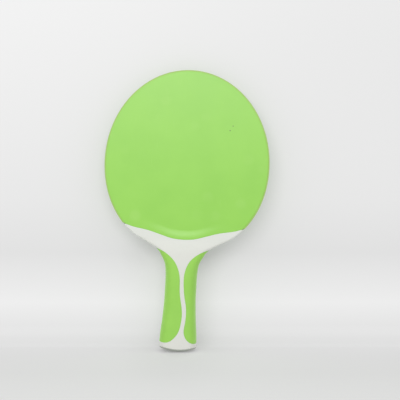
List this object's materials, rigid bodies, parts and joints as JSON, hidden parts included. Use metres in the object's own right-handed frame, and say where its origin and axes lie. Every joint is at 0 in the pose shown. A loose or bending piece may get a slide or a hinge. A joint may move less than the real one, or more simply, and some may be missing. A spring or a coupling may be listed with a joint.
{
  "type": "table tennis racket",
  "caption": "Moulded table tennis racket with a green rubber face on each side, white wing-shaped shoulders, and soft green grips either side of an S-shaped rib.",
  "frame": {"origin": "lowest point of the butt, on the racket's long axis", "axes": "+Z from the butt to the top of the head, +X to the right seen from the front, -Y out of the front playing face"},
  "size_m": [0.15, 0.0246, 0.256],
  "materials": {
    "blade_composite": "matte, fibre-filled",
    "sponge": "fine closed-cell foam",
    "green_rubber": "smooth, matte",
    "rim_green": "matte",
    "white_shell": "satin, moulded",
    "grip_green": "soft touch",
    "cap_grey": "satin, moulded"
  },
  "bodies": {
    "root": {"blade_core": "blade_composite", "front_sponge": "sponge", "rear_sponge": "sponge", "front_rubber": "green_rubber", "rear_rubber": "green_rubber", "rim_band": "rim_green", "front_handle_shell": "white_shell", "rear_handle_shell": "white_shell", "left_grip_insert": "grip_green", "right_grip_insert": "grip_green", "butt_cap": "cap_grey"}
  },
  "joints": []
}
